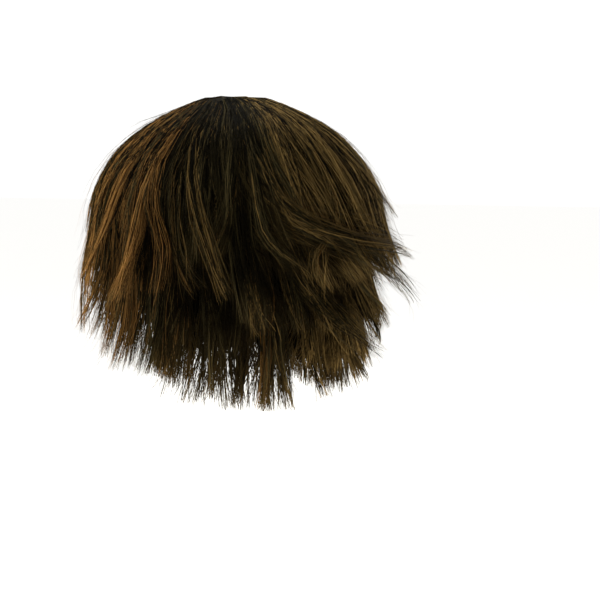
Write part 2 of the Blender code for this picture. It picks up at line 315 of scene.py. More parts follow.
# What the hair does on its way down
comb = {
    "guidePoints": 7,
    "radius": 0.105,        # of the hair round the crown's axis, at the widest level
    "leastTravel": 0.0015,
    "wispsPerLock": 5,
    "strandsPerWisp": 7,
    "strandHalf": 0.00045,  # how far hairs lie from the middle of their strand, in metres
    "strandSpread": 2.2,    # how many times that at their tips
    "wispHalf": 0.45,       # a wisp's half width, as a share of its lock's
    "lockNarrow": (0.25, 0.85),     # how much of its width a lock has lost at its tip
    "wispNarrow": (0.70, 0.96),
    "wispLate": (1.6, 4.0),         # the power of the way down by which it narrows
    "wispCut": 0.014,       # how unevenly the wisps of a lock are cut, in metres
    "hairCut": 0.016,
    "wave": 0.0026,         # metres that a wisp wanders to either side
    "strandWave": 0.0016,
    "hairWave": 0.0004,
    "bright": (0.50, 0.22),         # how unlike in brightness strands are, and hairs
    "brightest": 1.9,
    "tipGlow": (0.055, 0.033, 0.010),       # the light that comes through the hairs' tips
    "relief": 0.40,         # how much lower a lock is along its edges, as a share of the row's body
    "rising": 0.09,         # the share of a hair's length in which it comes up from its under side
    "parting": (0.055, 0.085),      # the travel from which locks lie at their own depths, and its run
    "topLayer": 0.16,       # how much of the body the hairs' depths differ by above that
    "pull": (0.55, 1.15),   # how much of its row's sweep a lock follows
    "pullTravel": 0.20,     # the travel at which a lock's sweep finds its end
    "lockWide": (0.8, 1.4),         # a lock's half width, in shares of its place round the row
    "lean": 7.0,            # degrees that a lock's tip may lean
    "curl": 0.012,          # metres that a lock's tip may stand out more or less
    "mostCurl": 0.004,
    "whorl": 46.0,          # degrees that the hair turns round the crown
    "whorlReach": 0.055,
    "wispLean": 0.35,       # half widths of its lock that a wisp's tip may lean
    "strandPlace": 0.65,    # how far strands lie from the middle of their wisp, in its half widths
    "strandTurns": (4.0, 9.0),      # how many radians of wave a strand has
    "strandTone": 0.85,     # the share of hairs that have their strand's tone
    "ownTone": 0.4,         # the share of a named lock's strands that have its own tone
    "stray": 0.17,          # the share of hairs that leave their wisp
    "drift": (0.40, 1.30),  # how far hairs and strays drift to the side, in half widths of the lock
    "crossing": 0.15,       # the share of strands that drift further
    "crossDrift": 2.5,      # how many times as far
    "strayOut": 0.012,      # metres that strays stand out at their tips, at most
    "strayWide": 0.5,       # a stray's width, in shares of a hair's
    "hairWidths": (0.65, 1.2),
    "flick": (0.55, 0.60),  # how much of its row's flick a hair takes inside, and how much more outside
    "light": (0.68, 0.90),  # how light a hair is at its root, and how much more at its tip
    "inside": (0.05, 0.95),         # painted shade by depth: the light painted on hairs at the row's under side, and how much more outside
    "hollowDark": 0.9,      # painted shade: how much of a hair's colour the darkest hollow takes
    "hollowDeep": 0.85,     # how much of a hair's height it takes
}


def lockGuides(facts, start, end, count, rng):
    # The locks of a row between two azimuths: places down each, evenly in travel from its root to
    # its own end, turned by the row's sweep and by the lock's own lean, which grows as a square
    down = np.linspace(0.0, 1.0, comb["guidePoints"])[None, :]
    rooted = start + (end - start) * (np.arange(count) + rng.uniform(0.1, 0.9, count)) / count
    rooted = rooted[:, None]
    top = rng.uniform(*facts["roots"], (count, 1))
    pull = rng.uniform(*comb["pull"], (count, 1))
    swept = rooted + sweepTurn(rooted, np.full((count, 1), comb["pullTravel"])) * pull
    tier = np.array(facts["tiers"])[np.arange(count) % len(facts["tiers"])]
    low, high, over = tier[:, 0:1], tier[:, 1:2], tier[:, 2:3]
    tip = endTravel(facts["row"], swept) - rng.uniform(low, high, (count, 1))
    travel = top + (tip - top) * down
    azimuth = rooted + sweepTurn(rooted, travel) * pull
    azimuth = azimuth + rng.normal(0, comb["lean"] / 2, (count, 1)) * down**2
    bend = rng.normal(0, comb["lean"] / 3, (count, 1))
    azimuth = azimuth + bend * np.sin(math.pi * down)
    lift = np.minimum(rng.normal(0.0, comb["curl"] / 2, (count, 1)), comb["mostCurl"]) * down**4
    half = (end - start) / count * rng.uniform(*comb["lockWide"], count)
    return {
        "azimuth": azimuth, "travel": travel, "lift": lift, "half": half, "over": over,
        "dense": np.ones(count), "tone": np.full(count, -1), "named": np.zeros(count, bool),
    }


def led(tone, half, proud, azimuth, travel, tipOut=0, dense=1.0, over=0.95):
    # A lock that is led through these azimuths and travels, from its root to its tip. Its half width is
    # in degrees; how far it stands proud, how far its tip stands out and its travels are in millimetres
    return {
        "tone": tone, "half": half, "proud": proud / 1000, "tipOut": tipOut / 1000,
        "dense": dense, "over": over, "azimuth": azimuth, "travel": np.array(travel) / 1000,
    }


# The locks that stand out on the side that is seen most, by piece. One that is less dense has fewer
# hairs, and one that is less over lies deeper in its row
namedLocks = {
    "crownLeft": {
        "leftEdge": led("copper", 6.0, 1, (46, 46, 48, 32, 25, 26), (10, 79, 122, 159, 188, 212)),
        "copperEdge": led("copper", 5.0, 2, (58, 58, 58, 52, 40, 28), (10, 99, 129, 150, 178, 204)),
        "copperFall": led("copper", 4.0, 2, (64, 66, 70, 68, 67, 62), (10, 90, 145, 163, 184, 216)),
        "wedgeLeft": led("copper", 2.6, 2, (76, 76, 75, 72, 67, 60), (10, 80, 124, 157, 189, 226)),
        "wedgeRight": led("copper", 3.2, 2, (77, 76, 76, 84, 86, 83), (10, 80, 124, 155, 178, 220)),
        "middleFall": led("brown", 4.0, 2, (94, 96, 97, 97, 98, 99), (10, 80, 128, 145, 165, 190)),
        "brightSwoop": led("litGolden", 3.4, 3, (90, 92, 97, 102, 107, 114), (10, 98, 125, 150, 180, 212)),
        "middleFan": led(
            "litGolden", 3.2, 1, (88, 89, 90, 92, 97, 103), (10, 90, 140, 170, 190, 206), dense=0.6,
        ),
        "topFall": led("brown", 4.0, 1, (114, 114, 113, 112, 111, 108), (10, 80, 110, 131, 150, 178)),
        "longMiddle": led("dark", 4.0, 1, (116, 116, 116, 118, 122, 125), (10, 90, 134, 176, 205, 236)),
        "frontTipHigh": led(
            "copper", 4.5, 1, (42, 42, 41, 38, 35, 33), (10, 80, 125, 160, 185, 210), tipOut=-2,
        ),
        "frontFill": led("copper", 5.0, 0, (52, 52, 50, 46, 43, 40), (10, 80, 125, 160, 192, 226), over=0.6),
        "frontTipLow": led("copper", 5.0, 0, (38, 36, 32, 28, 26, 24), (10, 80, 130, 170, 210, 252)),
    },
    "crownBack": {
        "swooshHigh": led(
            "litGolden", 7.0, 0, (114, 114, 124, 150, 182, 200), (10, 89, 130, 154, 165, 176),
            tipOut=17, dense=0.5, over=0.78,
        ),
        "swooshMiddle": led(
            "brown", 7.0, 0, (118, 120, 131, 148, 176, 200), (10, 100, 138, 160, 180, 204),
            tipOut=-8, dense=0.5, over=0.75,
        ),
        "swooshLow": led(
            "brown", 6.0, 1, (122, 123, 136, 160, 180, 198), (10, 114, 146, 166, 186, 214),
            dense=0.55, over=0.8,
        ),
        "archTop": led(
            "brown", 3.4, 1, (128, 129, 138, 150, 159, 165), (10, 122, 152, 155, 166, 196), dense=0.6,
        ),
        "archLeg": led(
            "litGolden", 2.2, -2, (150, 152, 157, 155, 148, 146, 148), (10, 80, 128, 151, 168, 186, 208),
            dense=0.8,
        ),
        "innerSwoop": led(
            "brown", 5.5, 1, (120, 120, 122, 126, 131, 138), (10, 85, 132, 158, 175, 192), dense=0.5,
        ),
        # rightEdge and rightWisp take litGolden: painted light along the hair's edge, lit from behind
        "rightEdge": led("litGolden", 6.0, 1, (196, 196, 194, 192, 193, 198), (10, 60, 90, 120, 150, 190)),
        "rightWisp": led(
            "litGolden", 2.0, 0, (170, 171, 175, 182, 190, 198), (10, 50, 85, 115, 136, 152), tipOut=14,
        ),
    },
    "sideLayerLeft": {
        "frontFillLow": led(
            "dark", 5.0, 0, (40, 40, 40, 39, 38, 36), (90, 130, 165, 195, 222, 250), over=0.6,
        ),
        "sideTipFront": led(
            "copper", 4.5, 2, (44, 44, 45, 46, 47, 48), (90, 140, 180, 215, 245, 270), tipOut=-4,
        ),
        "sideTipMiddle": led("copper", 4.0, 2, (60, 60, 61, 61, 60, 58), (90, 140, 180, 215, 248, 281)),
        "frontFlick": led(
            "copper", 4.5, 2, (34, 34, 33, 31, 28, 25), (90, 130, 165, 195, 222, 246), tipOut=6,
        ),
        "sideFill": led("dark", 5.0, 0, (68, 68, 69, 69, 69, 68), (90, 140, 180, 215, 245, 275)),
        "sideTipBack": led("brown", 4.0, 1, (78, 77, 76, 76, 75, 73), (90, 140, 180, 215, 245, 278)),
    },
    "backLayer": {
        "lowRight": led(
            "brown", 6.0, 1, (130, 134, 142, 152, 164, 176), (90, 165, 194, 214, 230, 246),
            tipOut=-10, dense=0.6,
        ),
        "backTip": led(
            "brown", 4.0, 3, (150, 158, 166, 174, 182, 188), (90, 150, 180, 200, 216, 232), tipOut=3,
        ),
        "backFall": led(
            "dark", 4.0, 1, (168, 170, 173, 176, 179, 181), (100, 160, 200, 225, 242, 258), tipOut=-18,
        ),
        "lowRightInner": led("dark", 4.0, 2, (138, 140, 145, 153, 163, 173), (100, 170, 196, 218, 240, 262)),
        "endWisp": led("brown", 2.4, 4, (134, 135, 136, 138, 139, 140), (100, 170, 192, 208, 224, 240)),
        "lowMiddle": led("litGolden", 2.8, 4, (118, 120, 121, 122, 123, 124), (100, 180, 200, 215, 229, 246)),
    },
    "napeHair": {
        "napeTipSide": led("dark", 3.8, 1, (73, 73, 74, 75, 75, 74), (130, 160, 195, 230, 255, 278)),
        "napeTipFront": led("dark", 3.6, 1, (84, 85, 86, 87, 86, 84), (130, 160, 195, 230, 258, 282)),
        "napeTipLong": led("dark", 3.8, 1, (104, 104, 105, 107, 108, 109), (130, 165, 200, 240, 275, 309)),
        "napeTipMiddle": led(
            "copper", 3.4, 1, (122, 123, 125, 127, 127, 125), (130, 165, 200, 240, 272, 305),
        ),
        "napeTipInner": led("dark", 3.4, 1, (132, 132, 133, 134, 136, 138), (130, 165, 200, 240, 272, 305)),
        "napeTipBack": led("dark", 3.8, 1, (144, 145, 147, 149, 152, 155), (130, 165, 200, 240, 270, 298)),
        "napeTipEdge": led("dark", 3.6, 1, (164, 165, 167, 170, 174, 179), (130, 165, 200, 235, 262, 287)),
    },
}

# Where the hair parts into hollows, which lie deeper and carry painted shade: the azimuth and the travel in
# millimetres of each, half its reach round in degrees and down in millimetres, and how dark its painted
# shade is
hollows = {
    "wedge": (78, 174, 5.5, 30, 1.0),
    "lowWedge": (91, 216, 4.5, 16, 1.0),
    "middleHigh": (112, 156, 4.5, 12, 0.9),
    "middleLow": (117, 188, 5.0, 15, 1.0),
    "besideSwoop": (101, 192, 3.5, 12, 0.9),
    "underSwoop": (110, 230, 4.5, 10, 0.9),
    "leftLow": (54, 195, 4.5, 12, 0.9),
    "leftInner": (89, 190, 3.5, 12, 0.8),
    "underArch": (154, 174, 8.0, 11, 0.95),
    "beforeArch": (136, 184, 4.0, 9, 0.7),
    "belowInner": (125, 198, 5.0, 10, 0.9),
    "lowBack": (146, 223, 5.0, 10, 0.8),
    "lowBackEdge": (161, 214, 5.0, 11, 0.9),
    "lowMiddle": (126, 245, 4.0, 10, 0.6),
    "topFront": (93, 104, 4.0, 15, 0.45),
    "topBack": (125, 108, 4.0, 18, 0.45),
    "farSide": (282, 170, 4.0, 25, 0.9),
    "farLow": (262, 195, 5.0, 14, 0.8),
    "farFront": (308, 180, 4.0, 16, 0.8),
    "farBack": (226, 165, 5.0, 14, 0.8),
    "backLow": (204, 200, 4.0, 12, 0.8),
}


def hollowHere(azimuth, travel):
    # How strong the hollows are here, which sets both their depth and their painted shade: the darkest of
    # their bells, each exp(-round squared - down squared)
    darkest = np.zeros_like(travel)
    for middle, depth, halfRound, halfDown, dark in hollows.values():
        turned = (azimuth - middle + 180) % 360 - 180
        fallen = (travel - depth / 1000) / (halfDown / 1000)
        darkest = np.maximum(darkest, dark * np.exp(-((turned / halfRound) ** 2) - fallen**2))
    return darkest


def addNamedLocks(guides, piece):
    # Puts the piece's named locks after its others, each led evenly through its own places
    share = np.linspace(0.0, 1.0, comb["guidePoints"])
    for lock in namedLocks.get(piece, {}).values():
        given = np.linspace(0.0, 1.0, len(lock["azimuth"]))
        more = {
            "azimuth": np.interp(share, given, lock["azimuth"])[None, :],
            "travel": np.interp(share, given, lock["travel"])[None, :],
            "lift": (lock["proud"] * ease(share * 2) + lock["tipOut"] * share**4)[None, :],
            "half": np.array((lock["half"],)),
            "over": np.array(((lock["over"],),)),
            "dense": np.array((lock["dense"],)),
            "tone": np.array((list(tones).index(lock["tone"]),)),
            "named": np.array((True,)),
        }
        for key, value in more.items():
            guides[key] = np.concatenate((guides[key], value))


def besideGuide(guides, lock, place, across):
    # A path beside its guide: across it on the form by so many metres, less where the form is narrow
    azimuth = throughPoints(guides["azimuth"][lock], place)
    travel = throughPoints(guides["travel"][lock], place)
    lift = throughPoints(guides["lift"][lock], place)
    radius = comb["radius"] * np.sin(np.minimum(travel, domeTravel) / head["dome"]) + 0.003
    roundWay = np.gradient(np.radians(azimuth), axis=1) * radius
    fall = np.gradient(travel, axis=1)
    size = np.sqrt(roundWay**2 + fall**2) + 1e-9
    half = np.radians(guides["half"][lock])[:, None] * radius
    metres = across * half
    azimuth = azimuth + np.degrees(metres * fall / size / radius)
    travel = travel - metres * roundWay / size
    whorl = comb["whorl"] * np.clip(1 - travel / comb["whorlReach"], 0, 1) ** 2
    return azimuth - whorl, np.maximum(travel, comb["leastTravel"]), lift, half


def toneShades(azimuth, own, pick, lockTone):
    # The tone for each own number from 0 to 1, by how often each is at the azimuth, and in a lock with
    # a tone of its own that one for the lowest picks
    turned = azimuth[:, None] % 360
    facts = [[tone[key] for tone in tones.values()] for key in ("often", "most", "reach", "more")]
    often, most, reach, more = np.array(facts)[:, None, :]
    near = np.exp(-(((turned - most) / reach) ** 2)) + np.exp(-(((turned - 360 + most) / reach) ** 2))
    chance = often + more * np.minimum(near, 1.0)
    chance = np.cumsum(chance / chance.sum(axis=1, keepdims=True), axis=1)
    tone = np.minimum((own[:, None] > chance).sum(axis=1), len(tones) - 1)
    tone = np.where((lockTone >= 0) & (pick < comb["ownTone"]), lockTone, tone)
    return np.array([tone["colour"] for tone in tones.values()])[tone]


def depthShare(travel, row):
    # How far the locks lie at their own depths: not at all on the crown, and wholly further down
    if row != "crown":
        return np.ones_like(travel)
    return ease((travel - comb["parting"][0]) / comb["parting"][1])


def combHairs(facts, guides, hairs, rng):
    # The hairs of some locks: each is its lock's guide, plus a step to the side for its wisp and for
    # its strand's place in the wisp, both of which narrow on the way down, at a depth in the row
    row = facts["row"]
    locks = len(guides["half"])
    share = guides["half"] * rng.uniform(0.7, 1.3, locks)
    share = share * guides["dense"] * np.where(guides["named"], 1.1, 1.0)
    lock = rng.choice(locks, hairs, p=share / share.sum())
    wisps = locks * comb["wispsPerLock"]
    wisp = lock * comb["wispsPerLock"] + rng.integers(0, comb["wispsPerLock"], hairs)
    wispAcross = (np.arange(wisps) % comb["wispsPerLock"] + 0.5) / comb["wispsPerLock"] * 2 - 1
    wispAcross = wispAcross + rng.normal(0, 0.15, wisps)
    wispDepth = rng.uniform(0.0, 1.0, wisps) ** 0.7
    wispCut = comb["wispCut"] * rng.uniform(0, 1, wisps) ** 1.5
    wispNarrow = rng.uniform(*comb["wispNarrow"], wisps)[wisp][:, None]
    wispLate = rng.uniform(*comb["wispLate"], wisps)[wisp][:, None]
    lockNarrow = rng.uniform(*comb["lockNarrow"], locks)[lock][:, None]
    wispPhase = rng.uniform(0, 2 * math.pi, wisps)
    wispWave = rng.normal(0, comb["wave"], wisps)
    wispLean = rng.normal(0, comb["wispLean"], wisps)
    strands = wisps * comb["strandsPerWisp"]
    strand = wisp * comb["strandsPerWisp"] + rng.integers(0, comb["strandsPerWisp"], hairs)
    strandPlace = rng.normal(0, comb["strandPlace"], strands)[strand][:, None]
    crossing = np.where(rng.uniform(0, 1, strands) < comb["crossing"], comb["crossDrift"], 1.0)
    strandDrift = (rng.normal(0, comb["drift"][0], strands) * crossing)[strand][:, None]
    strandDepth = rng.uniform(0, 1, strands)[strand][:, None]
    strandWave = rng.normal(0, comb["strandWave"], strands)[strand][:, None]
    strandTurns = rng.uniform(*comb["strandTurns"], strands)[strand][:, None]
    strandPhase = rng.uniform(0, 2 * math.pi, strands)[strand][:, None]
    strandOwn = rng.uniform(0, 1, strands)[strand]
    strandPick = rng.uniform(0, 1, strands)[strand]
    strandBright = rng.normal(0, comb["bright"][0], strands)[strand]

    down = ringShares(facts["rings"])[None, :]
    long = guides["travel"][lock, -1] - guides["travel"][lock, 0]
    cut = wispCut[wisp] + comb["hairCut"] * rng.uniform(0, 1, hairs) ** 2
    reach = 1 - cut * facts["cut"] / long
    start = facts["firstRoots"] * rng.uniform(0, 1, (hairs, 1)) ** facts["rootPower"]
    place = start + (reach[:, None] - start) * down
    stray = rng.uniform(0, 1, (hairs, 1)) < comb["stray"]
    narrow = down**wispLate
    inWisp = strandPlace * np.where(guides["named"][lock][:, None], 1.4, 1.0)
    across = wispAcross[wisp][:, None] * (1 - lockNarrow * down**2.2)
    across = across + wispLean[wisp][:, None] * down**3
    astray = rng.normal(0, comb["drift"][1], (hairs, 1)) * stray
    across = across + (strandDrift + astray) * down**2.5
    across = across + inWisp * comb["wispHalf"] * (1 - wispNarrow * narrow * ~stray)
    azimuth, travel, lift, half = besideGuide(guides, lock, place, across)
    wander = wispWave[wisp][:, None] * np.sin(5.0 * down + wispPhase[wisp][:, None]) * down
    wander = wander + strandWave * np.sin(strandTurns * down + strandPhase) * ease(down * 2)
    hairTurns = np.sin(7.0 * down + rng.uniform(0, 2 * math.pi, (hairs, 1)))
    wander = wander + rng.normal(0, comb["hairWave"], (hairs, 1)) * hairTurns * np.where(stray, 5.0, 1.0)
    wander = wander + rng.normal(0, comb["strandHalf"], (hairs, 1)) * (1 + comb["strandSpread"] * down**3)
    azimuth = azimuth + np.degrees(wander * facts["wander"] / 0.11)

    low = underSide(row, azimuth, travel)
    high = outSide(row, azimuth, travel)
    over = guides["over"][lock]
    apart = depthShare(travel, row)
    depth = over + (1 - over) * wispDepth[wisp][:, None]
    depth = depth * (1 - 0.45 * strandDepth**2)
    depth = depth * apart + (1 - comb["topLayer"] * rng.uniform(0, 1, (hairs, 1))) * (1 - apart)
    early = np.where(start < 0.03, 0.75, 0.15) if row == "crown" else 0.15
    risen = early + (1 - early) * ease((place - start) / comb["rising"])
    edge = np.clip(across, -1.1, 1.1) ** 2
    hollow = hollowHere(azimuth, travel)
    depth = depth * (1 - comb["hollowDeep"] * hollow * ~guides["named"][lock][:, None])
    body = (high - low) * (1 - comb["relief"] * apart * edge)
    height = low + body * (0.06 + 0.94 * depth * risen)
    flickInside, flickMore = comb["flick"]
    height = height + flickOut(row, azimuth, travel) * (flickInside + flickMore * depth)
    strayOut = stray * comb["strayOut"] * rng.uniform(-0.2, 1.0, (hairs, 1)) ** 2 * down**2.5
    height = head["capWall"] + height + lift + strayOut
    centres, outward = onForm(azimuth, travel, np.maximum(height, fibre["lowest"]))

    own = np.where(rng.uniform(0, 1, hairs) < comb["strandTone"], strandOwn, rng.uniform(0, 1, hairs))
    bright = np.exp(strandBright + rng.normal(0, comb["bright"][1], hairs))
    bright = np.minimum(bright, comb["brightest"])
    colour = toneShades(azimuth[:, -3], own, strandPick, guides["tone"][lock]) * bright[:, None]
    (rootLight, tipMore), (paintedUnderSideLight, paintedOutsideMore) = comb["light"], comb["inside"]
    # Lighter towards the tip, with painted shade on the hairs that lie deeper in the row
    light = (rootLight + tipMore * down**3) * (paintedUnderSideLight + paintedOutsideMore * depth**2)
    # Painted shade in the hollows, on the hairs and on their tip glow
    light = light * (1 - comb["hollowDark"] * hollow)
    shades = colour[:, None, :] * light[..., None]
    glow = facts["glow"] * down**5 * bright[:, None] * (1 - hollow)
    shades = shades + np.array(comb["tipGlow"]) * glow[..., None]
    widths = facts["hairWide"] * fibre["halfWidth"] * rng.uniform(*comb["hairWidths"], (hairs, 1))
    widths = widths * np.where(stray, comb["strayWide"], 1.0)
    widths = widths * (1 - (1 - fibre["tipWidth"]) * down**3)
    return centres, outward, widths, shades


def combBodies(facts, guides, rng):
    # The body inside each lock, painted dark as the shade within it: a flat tube down its guide that narrows
    # to its tip
    row = facts["row"]
    locks = len(guides["half"])
    lock = np.arange(locks)
    down = ringShares(lockBody["rings"])[None, :]
    first, reach = lockBody["start"], facts["bodyReach"]
    place = first + (reach - first) * down + np.zeros((locks, 1))
    azimuth, travel, lift, half = besideGuide(guides, lock, place, np.zeros((locks, 1)))
    low = underSide(row, azimuth, travel)
    high = outSide(row, azimuth, travel)
    over = guides["over"]
    apart = depthShare(travel, row)
    hollow = hollowHere(azimuth, travel)
    depth = lockBody["depth"] * (0.6 + 0.5 * over * apart) * (1 - 0.7 * hollow)
    flicked = flickOut(row, azimuth, travel) * (comb["flick"][0] + comb["flick"][1] * depth)
    height = low + (high - low) * depth + flicked + lift
    centres, outward = onForm(azimuth, travel, head["capWall"] + np.maximum(height, lockBody["lowest"]))
    widths = half * lockBody["width"] * (1 - 0.97 * ease(down) ** 1.5)
    widths = widths * (guides["dense"] * np.where(guides["named"], lockBody["named"], 1.0))[:, None]
    thicks = lockBody["thick"] * (1 - 0.85 * down**2) * np.minimum(1, 0.3 + (high - low) / 0.008)
    own, pick = rng.uniform(0, 0.8, locks), rng.uniform(0, 1, locks)
    colour = toneShades(azimuth[:, -3], own, pick, guides["tone"])[:, None, :]
    # Painted shade: the body darker than its hair, lighter towards the tip, and darker still in the hollows
    shades = colour * (lockBody["shade"] * (0.8 + 0.4 * down**2) * (1 - 0.85 * hollow))[..., None]
    return centres, outward, widths, thicks, shades


class Wire:
    # A shader socket that can be added, subtracted and multiplied like a number
    tree = None

    def __init__(self, socket):
        self.socket = socket

    @classmethod
    def node(cls, kind, settings=None, **values):
        # Any node: its settings first, then the values or links of its sockets by name or number
        made = cls.tree.nodes.new(kind)
        for key, value in (settings or {}).items():
            setattr(made, key, value)
        for key, value in values.items():
            name = int(key[2:]) if key.startswith("in") and key[2:].isdigit() else key.replace("_", " ")
            if isinstance(value, Wire):
                cls.tree.links.new(value.socket, made.inputs[name])
            else:
                made.inputs[name].default_value = value
        return made

    @classmethod
    def maths(cls, operation, first, second):
        made = cls.node("ShaderNodeMath", {"operation": operation}, in0=first, in1=second)
        return cls(made.outputs[0])

    def __add__(self, other):
        return Wire.maths("ADD", self, other)

    def __mul__(self, other):
        return Wire.maths("MULTIPLY", self, other)

    def __sub__(self, other):
        return Wire.maths("SUBTRACT", self, other)

    def __rsub__(self, other):
        return Wire.maths("SUBTRACT", other, self)

    __radd__ = __add__
    __rmul__ = __mul__


def newMaterial(name):
    material = bpy.data.materials.new(name)
    material.use_nodes = True
    Wire.tree = material.node_tree
    shader = material.node_tree.nodes["Principled BSDF"]
    return material, shader


def fibreMaterial(name, look):
    # The piece's own colours, painted light and shade included, with fine fibres streaked along it at their
    # real size
    material, shader = newMaterial(name)
    place = Wire.node("ShaderNodeUVMap", {"uv_map": "fibreMetres"})
    scale = (1 / look["fibreWide"], 1 / look["fibreLong"], 1.0)
    stretched = Wire.node("ShaderNodeMapping", None, Vector=Wire(place.outputs["UV"]), Scale=scale)
    streaks = Wire.node("ShaderNodeTexNoise", None, Vector=Wire(stretched.outputs[0]), Scale=1.0, Detail=1.5)
    streak = Wire(streaks.outputs[0])
    own = Wire.node("ShaderNodeAttribute", {"attribute_name": "hairColour"})
    shade = 1 + look["streak"] * (streak - 0.5)
    grey = Wire.node("ShaderNodeCombineColor", None, Red=shade, Green=shade, Blue=shade)
    mixed = Wire.node(
        "ShaderNodeMix", {"data_type": "RGBA", "blend_type": "MULTIPLY"},
        Factor=1.0, in6=Wire(own.outputs["Color"]), in7=Wire(grey.outputs[0]),
    )
    Wire.tree.links.new(mixed.outputs[2], shader.inputs["Base Color"])
    rough = look["roughness"] + look["roughStreak"] * (streak - 0.5)
    Wire.tree.links.new(rough.socket, shader.inputs["Roughness"])
    if look["relief"]:
        bump = Wire.node("ShaderNodeBump", None, Height=streak, Distance=look["relief"], Strength=1.0)
        Wire.tree.links.new(bump.outputs[0], shader.inputs["Normal"])
    shader.inputs["Specular IOR Level"].default_value = look["specular"]
    shader.inputs["Specular Tint"].default_value = sheen
    return material


sheen = (1.0, 0.88, 0.60, 1.0)     # the tint of what the hair reflects
fibreLooks = {
    "hairFibre": {
        "fibreWide": 0.00025, "fibreLong": 0.012, "streak": 0.8, "roughness": 0.50, "roughStreak": 0.16,
        "relief": 0.0, "specular": 0.03,
    },
    "lockFibre": {
        "fibreWide": 0.00045, "fibreLong": 0.030, "streak": 2.2, "roughness": 0.60, "roughStreak": 0.16,
        "relief": 0.0006, "specular": 0.02,
    },
    "underFibre": {
        "fibreWide": 0.00060, "fibreLong": 0.035, "streak": 2.2, "roughness": 0.70, "roughStreak": 0.16,
        "relief": 0.0010, "specular": 0.00,
    },
}


def gridMesh(name, points, closedAround, shade=None):
    # A grid of points as quads, closed round its first direction where asked and welded where points
    # meet, with one UV map over the whole and another in metres across and along
    count, length = points.shape[:2]
    spans = count if closedAround else count - 1
    i, j = np.meshgrid(np.arange(spans), np.arange(length - 1), indexing="ij")
    nextI = (i + 1) % count
    quads = np.stack((i * length + j, i * length + j + 1, nextI * length + j + 1, nextI * length + j), -1)
    u = np.stack((i, i, i + 1, i + 1), -1) / spans
    v = np.stack((j, j + 1, j + 1, j), -1) / (length - 1)
    mesh = bpy.data.meshes.new(name)
    mesh.from_pydata(points.reshape(-1, 3), [], quads.reshape(-1, 4).tolist())
    mesh.uv_layers.new(name="OFBake").data.foreach_set("uv", np.stack((u, v), -1).reshape(-1))
    steps = np.linalg.norm(np.diff(points, axis=1), axis=-1).mean(axis=0)
    roundTheMiddle = np.linalg.norm(np.diff(points[:, length // 4], axis=0), axis=-1).sum()
    metres = np.concatenate(((0,), np.cumsum(steps)))[np.stack((j, j + 1, j + 1, j), -1)]
    metres = np.stack((u * roundTheMiddle, metres), -1)
    mesh.uv_layers.new(name="fibreMetres").data.foreach_set("uv", metres.reshape(-1))
    if shade is not None:
        paint(mesh, np.broadcast_to(shade, (count * length, 3)))
    welded = bmesh.new()
    welded.from_mesh(mesh)
    bmesh.ops.remove_doubles(welded, verts=welded.verts, dist=1e-6)
    welded.to_mesh(mesh)
    welded.free()
    mesh.shade_smooth()
    return mesh


underlay = {
    "steps": 20,
    "outDepth": 0.42,
    "inDepth": 0.10,
    "short": {"crown": 0.046, "middle": 0.046, "fringe": 0.046, "nape": 0.038},     # of its row's ends
    "ragged": 0.012,
    "points": 7.0,          # degrees between the points of its ragged end
    "sweep": 0.8,           # of its row's sweep
    "flick": 0.6,           # of its row's flick
    # painted shade: the under hair is near black for the deep shade between the locks
    "colour": (0.0020, 0.0015, 0.0008),
}


# The under hair's pieces: the row, the azimuths, how many columns and the node each stands for
underPieces = (
    ("crownUnder", "crown", 0, 360, 180, "crown_hair"),
    ("sideLayerLeftUnder", "middle", 27, 97, 40, "side_layer_left"),
    ("backLayerUnder", "middle", 99, 261, 90, "back_layer"),
    ("sideLayerRightUnder", "middle", 263, 333, 40, "side_layer_right"),
    ("frontLayerUnder", "middle", -25, 25, 30, "front_layer"),
    ("fringeUnder", "fringe", -57, 57, 60, "fringe"),
    ("napeUnder", "nape", 65, 295, 120, "nape_hair"),
)


def addUnderlay(name, row, start, end, columns, material, node):
    # A closed shell down the row, coloured near black as painted shade between the locks: out over its
    # outside, round its ragged end and back up inside, with its two sides drawn together at its ends round
    # the head
    rng = np.random.default_rng(len(name))
    whole = row == "crown"
    azimuth = start + (end - start) * np.arange(columns) / (columns if whole else columns - 1)
    ragged = 2 * np.abs((azimuth / underlay["points"]) % 1.0 - 0.5) + rng.uniform(0, 1, columns)
    ragged = underlay["ragged"] * ragged
    top = rows[row]["root"] + (0.0 if whole else 0.002)
    last = endTravel(row, azimuth) - underlay["short"][row] - ragged
    down = np.linspace(0, 1, underlay["steps"])[None, :]
    travel = top + (last[:, None] - top) * down
    turned = azimuth[:, None] + sweepTurn(azimuth[:, None], travel) * underlay["sweep"]
    low, high = underSide(row, turned, travel), outSide(row, turned, travel)
    out = flickOut(row, turned, travel) * underlay["flick"] + head["capWall"]
    thin = 1 - 0.9 * ease((down - 0.75) / 0.25)
    if not whole:
        column = np.arange(columns)[:, None]
        thin = thin * np.minimum(1.0, np.minimum(column, columns - 1 - column) / 3)
    middle = (underlay["outDepth"] + underlay["inDepth"]) / 2
    half = (underlay["outDepth"] - underlay["inDepth"]) / 2
    outer = onForm(turned, travel, low + (high - low) * (middle + half * thin) + out)[0]
    inner = onForm(turned, travel, low + (high - low) * (middle - half * thin) + out)[0]
    loop = np.concatenate((outer, inner[:, ::-1]), axis=1)
    if not whole:
        loop = np.concatenate((loop, loop[:, :1]), axis=1)
    addPiece(name, gridMesh(name, loop, whole, underlay["colour"]), material, [node])


